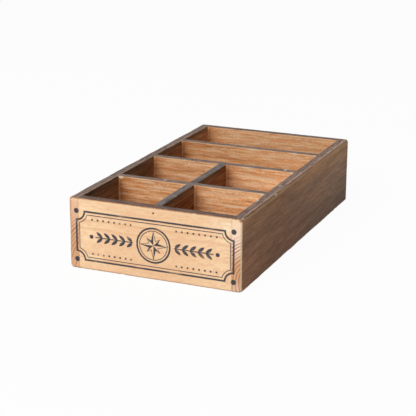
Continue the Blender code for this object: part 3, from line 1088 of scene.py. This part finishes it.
def corner_walls(spot):
    """Walls at the left ends of a cross board's compartments, which take painted shade and glue, and
    where on it they count.
    """
    walls = [(-INNER_X, 1.0)]
    if spot.board.node == "cross_divider_front":
        walls.append((CENTRE_HIGH[X], 1.0))
    if spot.board.node == "cross_divider_middle":
        low, high = CROSS["middle"]
        middle = (low[Y] + high[Y]) / 2
        walls.append((CENTRE_HIGH[X], smooth(spot.y, middle + DIVIDER_FADE, middle - DIVIDER_FADE)))
    return walls


def inner_stain_and_shade(spot):
    """Stain inside the compartments, with painted shade low down and in the corners, glue beside walls,
    and painted light and shade along each board.
    """
    board, pine, z = spot.board, spot.pine, spot.z
    finish, below = spot.finish, spot.under_rim
    colour = blend(smooth(spot.tone + pine.ring * 0.06, 0.44, 0.68), finish.pale, finish.deep)
    speck = pine.grain(*SPECKS)
    speckled = 0.28 if board.along == Y else 0.38
    colour = tint(colour, (smooth(speck, 0.32, 0.68) - 0.5) * speckled + 1.02)
    if board.slot == "amber_stained_pine":
        colour = tint(colour, BAND, smooth(pine.broad, 0.50, 0.60) * 0.7)
    # Painted shade on cross boards: darker low down on the walls and near the wall at each compartment's
    # left end
    low = smooth(z + (pine.broad - 0.5) * SHADED_LOW_WALL_SHIFT, *SHADED_LOW_WALL_Z) * 0.42
    if board.along == X:
        flame = pine.grain(*FLAMES)
        colour = blend(smooth(flame, 0.46, 0.60) * 0.65, colour, FLAME)
        light = pine.grain(*PALE_STREAKS)
        colour = blend(smooth(light, 0.52, 0.66) * 0.60, colour, PALE_STREAK)
        # Painted shadow: a thin orange line just under the rim
        colour = blend(smooth(below, *RIM_SHADOW_BELOW) * 0.5, colour, RIM_SHADOW_LINE)
        # Pale rubbed wood and a painted highlight along the arris just under the rim
        edge = smooth(below, *RUB_AND_HIGHLIGHT_BELOW) * smooth(light, 0.36, 0.50)
        colour = blend(edge * 0.9, colour, RIM_RUB_AND_HIGHLIGHT)
        beneath = smooth(below, *SCUFFS_BELOW) * smooth(below, *SCUFFS_END_BELOW)
        colour = blend(beneath * smooth(spot.blot, 0.52, 0.66) * 0.55, colour, SCUFF_AND_HIGHLIGHT)
        walls = corner_walls(spot)
        for wall, met in walls:
            away = spot.x - wall
            corner_shade = greater(1 - away / CORNER_SHADE_REACH, 0) * smooth(away, -WALL_FADE, 0.0)
            low = greater(low, corner_shade * corner_shade * met)
        colour = tint(colour, CORNER_SHADE_AND_LINE_TINT, low)
        for wall, met in walls:
            away = spot.x - wall + (spot.blot - 0.5) * 0.5
            band = smooth(away, *GLUE_REACH) * smooth(away, -WALL_FADE * 2, 0.0)
            colour = blend(band * smooth(spot.blot, 0.25, 0.65) * met * 0.8, colour, GLUE)
            line = smooth(abs(away - GLUE_EDGE), *GLUE_EDGE_REACH)
            colour = tint(colour, CORNER_SHADE_AND_LINE_TINT, line * met * 0.4)
    else:
        colour = tint(colour, UNDER_RIM, smooth(z, *UPPER_WALL_Z))
    # Painted light and shade: the colour brightens from the board's first end to its last
    along = (spot.x, spot.y)[board.along]
    start, end = board.low[board.along], board.high[board.along]
    first, last = finish.gain
    share = (along - start) / (end - start)
    return tint(colour, share * share * (last - first) + first)


def outer_stain(spot):
    """Dark blotchy stain on the outside; the colour is brighter towards the top and greyer towards the
    back, with painted shade along the foot and the back arris.
    """
    pine, z = spot.pine, spot.z
    back = smooth(spot.y + (pine.patch - 0.5) * BACK_FADE_SHIFT, *BACK_FADE_Y)
    high = smooth(z + (pine.broad - 0.5) * HIGH_SHIFT, *HIGH_Z)
    foot = blend(back, SIDE_FRONT_FOOT, SIDE_BACK_FOOT)
    colour = blend(high, foot, blend(back, SIDE_FRONT_TOP, SIDE_BACK_TOP))
    blotch = pine.grain(*BLOTCHES)
    dip = smooth(spot.y, *DIP_Y) * smooth(spot.y, *DIP_END_Y)
    colour = tint(colour, (smooth(blotch, 0.32, 0.66) * 0.36 + 0.93) * (1 - dip * 0.11))
    hue = pine.grain(*HUES)
    colour = blend(smooth(hue, 0.45, 0.62) * 0.35, colour, tint(colour, OLIVE))
    golden = smooth(z + (pine.broad - 0.5) * GOLDEN_SHIFT, *GOLDEN_Z)
    colour = blend(golden * 0.8, colour, tint(colour, GOLDEN))
    streaks = smooth(pine.streak * 0.5 + pine.fibre * 0.5, 0.42, 0.60)
    colour = tint(colour, DARK_STREAK, streaks * 0.80)
    scratch = pine.grain(*SCRATCHES)
    colour = blend(smooth(scratch, 0.62, 0.74) * 0.25, colour, WORN)
    from_line = abs(z - TOP_LINE_Z + (spot.blot - 0.5) * 0.4)
    colour = tint(colour, LINE_TINT, smooth(from_line, *TOP_LINE_REACH) * spot.flank * 0.8)
    # Painted shade along the foot and the back arris
    uneven = (spot.blot - 0.5) * EDGE_SHIFT
    foot_shade = smooth(z + uneven, *FOOT_SHADE_EDGE_Z)
    back_shade = smooth(spot.y + uneven, *BACK_SHADE_EDGE_Y)
    return tint(colour, lesser(foot_shade, back_shade) * 0.60 + 0.40)


def rim_stain(spot):
    """Worn stain on the rim, greyed by painted sheen and mottled along the grain, with a painted
    highlight that makes the side boards' rims paler towards their right.
    """
    # The rim colours are dark stain greyed by painted sheen
    board, pine, rim = spot.board, spot.pine, spot.finish.rim
    pale = tuple(part * 1.40 for part in rim)
    deep = tuple(part * 0.62 for part in rim)
    mottle = pine.grain(*RIM_MOTTLE)
    colour = blend(smooth(mottle * 0.7 + pine.streak * 0.3, 0.40, 0.62), pale, deep)
    if spot.is_side:
        share = (spot.x - board.low[X]) / (board.high[X] - board.low[X])
        broken = smooth(pine.patch * 0.5 + spot.blot * 0.5, 0.36, 0.58) * spot.on_right
        # Painted highlight, broken in patches: the side boards' rims are paler towards their right
        highlight_stripe = smooth(share + (spot.blot - 0.5) * 0.2, 0.58, 0.76) * (broken * 0.8 + 0.35)
        aft = smooth(spot.y, *AFT_Y) * spot.on_right
        amid = smooth(spot.y, *AMID_Y) * smooth(spot.y, *AMID_END_Y) * (1 - spot.on_right)
        colour = tint(colour, (highlight_stripe + 0.88) * (aft * 0.20 - amid * 0.20 + 1))
    colour = tint(colour, RIM_FRONT, smooth(spot.y, *RIM_FRONT_Y))
    speck = pine.clouds(*RIM_SPECKS)
    return blend(smooth(speck, 0.70, 0.78) * 0.6, colour, SCUFF_AND_HIGHLIGHT)


def wear(spot, colour):
    """Rub the arrises pale, paint a highlight on the side boards' top arris, and paint chips, marks of
    use, painted highlights and painted shade.
    """
    pine = spot.pine
    rub = smooth(spot.blot * 0.4 + pine.patch * 0.5 + pine.streak * 0.3, 0.50, 0.75)
    colour = blend(spot.arris * rub * 0.5, colour, WORN)
    # Rubbed wood and a painted highlight along the side boards' top arris
    below = RIM_Z - spot.z
    top = spot.flank * smooth(below, *TOP_RUB_AND_HIGHLIGHT_END_BELOW) * smooth(below, *TOP_RUB_AND_HIGHLIGHT_BELOW)
    colour = blend(top * (rub * 0.46 + 0.50), colour, RUBBED_AND_HIGHLIT_TOP)
    marks = list(MARKS.get(spot.board.node, ()))
    for place, reach, _ in CHIPS.get(spot.board.node, ()):
        marks.append((place, (reach * 0.6,) * 3, SCUFF_AND_HIGHLIGHT, 0.7))
    rough = spot.blot * 0.9 + pine.streak * 0.7 - 0.8
    for place, half_sizes, paint, strength in marks:
        scale = [1 / half for half in half_sizes]
        offset = [-centre / half for centre, half in zip(place, half_sizes)]
        scaled = vector_sum(spot.place, scale, offset)
        reach = run_node(scaled.tree, "VectorMath", {0: scaled}, 1, operation="LENGTH")
        colour = blend(smooth(reach + rough * 1.2, 1.15, 0.55) * strength, colour, paint)
    return colour


def board_material(board):
    """Stained or bare pine, depending on where the surface lies in the box, with painted light, shade,
    highlights and sheen.
    """
    material, tree, shader = new_material(f"{board.node}_finish")
    spot = Spot(tree, board)
    pine = spot.pine
    colour = blend(spot.outside, inner_stain_and_shade(spot), outer_stain(spot))
    colour = blend(spot.front, colour, bare_wood(spot))
    colour = blend(spot.rim, colour, rim_stain(spot))
    colour = wear(spot, colour)
    seam = smooth(abs(abs(spot.x) - INNER_X), *SEAM_REACH)
    colour = blend(seam * greater(spot.front * 0.4, spot.rim) * 0.5, colour, SEAM_LINE)
    height = pine.fibre * 0.5 + pine.streak * 0.5 + pine.ring * 0.12
    relief = {"Strength": BUMP_STRENGTH, "Distance": BUMP_HEIGHT * MM, "Height": height}
    feed(shader, {
        "Base Color": colour,
        "Roughness": smooth(spot.tone, 0.1, 1.0) * 0.25 + 0.48,
        "Specular IOR Level": SPECULAR,
        "Normal": run_node(tree, "Bump", relief),
    })
    return material


def ply_material():
    material, tree, shader = new_material("ply_finish")
    place = millimetres(tree.nodes.new("ShaderNodeTexCoord"))
    pine = Pine(place, Y, PLY_PITH, PLY_SEED, PLY_RING_PITCH)
    tone = pine.streak * 0.5 + pine.broad * 0.4 + pine.fibre * 0.2
    colour = blend(smooth(tone + pine.ring * 0.2, 0.4, 0.9), PLY_PALE, PLY_DEEP)
    feed(shader, {"Base Color": colour, "Roughness": PLY_ROUGHNESS})
    return material


def steel_material():
    material, tree, shader = new_material("brad_finish")
    place = millimetres(tree.nodes.new("ShaderNodeTexCoord"))
    rust = smooth(clouds(place, *RUST_SPOTS), 0.4, 0.65)
    colour = blend(rust, STEEL, RUST)
    feed(shader, {"Base Color": colour, "Roughness": rust * 0.4 + 0.35, "Metallic": 1.0})
    return material


def set_material(piece, material):
    piece.data.materials.clear()
    piece.data.materials.append(material)


def dress(boards):
    """Finish the boards, and the CAD's own bottom and brads."""
    for board, piece in boards:
        set_material(piece, board_material(board))
    plain = {"ply": ply_material(), "steel": steel_material()}
    for part in frame["record"]["subparts"]:
        if part["material_slot"] in plain:
            set_material(frame["nodes"][part["node"]], plain[part["material_slot"]])


# Studio, in metres and watts

FLOOR_HALF = 6.0
FLOOR_CELLS = 8
FLOOR_DROP = 0.0002
FLOOR_GREY = (0.86, 0.86, 0.86)
FLOOR_ROUGHNESS = 0.9
WHITE = (1.0, 1.0, 1.0)
WHITE_SHARE = 0.96
AMBIENT = 0.09
KEY_PLACE = (-0.411, -1.648, 1.264)
KEY_TARGET = (0.0, 0.0, 0.03)
KEY_SIZE = 1.7
KEY_POWER = 39.0


def seen(tree):
    """1 for a ray that the camera sees, straight or by way of gloss or glass, and otherwise 0."""
    path = tree.nodes.new("ShaderNodeLightPath")
    rays = ("Is Camera Ray", "Is Glossy Ray", "Is Transmission Ray")
    camera, glossy, through = (Signal(path.outputs[ray]) for ray in rays)
    return greater(greater(camera, glossy), through)


def make_floor():
    mesh = bmesh.new()
    bmesh.ops.create_grid(mesh, x_segments=FLOOR_CELLS, y_segments=FLOOR_CELLS, size=FLOOR_HALF)
    floor = add_mesh("floor", mesh)
    floor.location.z = -FLOOR_DROP
    material, tree, shader = new_material("floor_paper")
    feed(shader, {"Base Color": FLOOR_GREY, "Roughness": FLOOR_ROUGHNESS})
    glow = run_node(tree, "Emission", {})
    inputs = {0: seen(tree) * WHITE_SHARE, 1: Signal(shader.outputs[0]), 2: glow}
    feed(tree.nodes["Material Output"], {"Surface": run_node(tree, "MixShader", inputs)})
    set_material(floor, material)


def make_world():
    world = bpy.data.worlds.new("studio")
    bpy.context.scene.world = world
    world.use_nodes = True
    tree = world.node_tree
    strength = seen(tree) * (1 - AMBIENT) + AMBIENT
    feed(tree.nodes["Background"], {"Color": WHITE, "Strength": strength})


def make_key_light():
    data = bpy.data.lights.new("key", "AREA")
    data.shape = "DISK"
    data.size = KEY_SIZE
    data.energy = KEY_POWER
    lamp = add_object("key", data)
    lamp.location = KEY_PLACE
    aim = Vector(KEY_TARGET) - Vector(KEY_PLACE)
    lamp.rotation_euler = aim.to_track_quat("-Z", "Y").to_euler()


def make_camera():
    yaw, pitch, roll = (math.radians(angle) for angle in (CAMERA_YAW, CAMERA_PITCH, CAMERA_ROLL))
    ahead = Vector((math.sin(yaw) * math.cos(pitch), math.cos(yaw) * math.cos(pitch), -math.sin(pitch)))
    level = Vector((math.cos(yaw), -math.sin(yaw), 0))
    upright = level.cross(ahead)
    right = level * math.cos(roll) + upright * math.sin(roll)
    up = upright * math.cos(roll) - level * math.sin(roll)
    turn = Matrix((right, up, -ahead)).transposed()
    data = bpy.data.cameras.new("camera")
    data.lens = LENS_MM
    data.sensor_width = SENSOR_MM
    data.clip_start = CLIP_NEAR
    data.clip_end = CLIP_FAR
    camera = add_object("camera", data)
    camera.matrix_world = Matrix.Translation(CAMERA_EYE) @ turn.to_4x4()
    bpy.context.scene.camera = camera


make_camera()
dress(make_boards())
make_floor()
make_world()
make_key_light()
bpy.context.scene.view_settings.view_transform = "Standard"
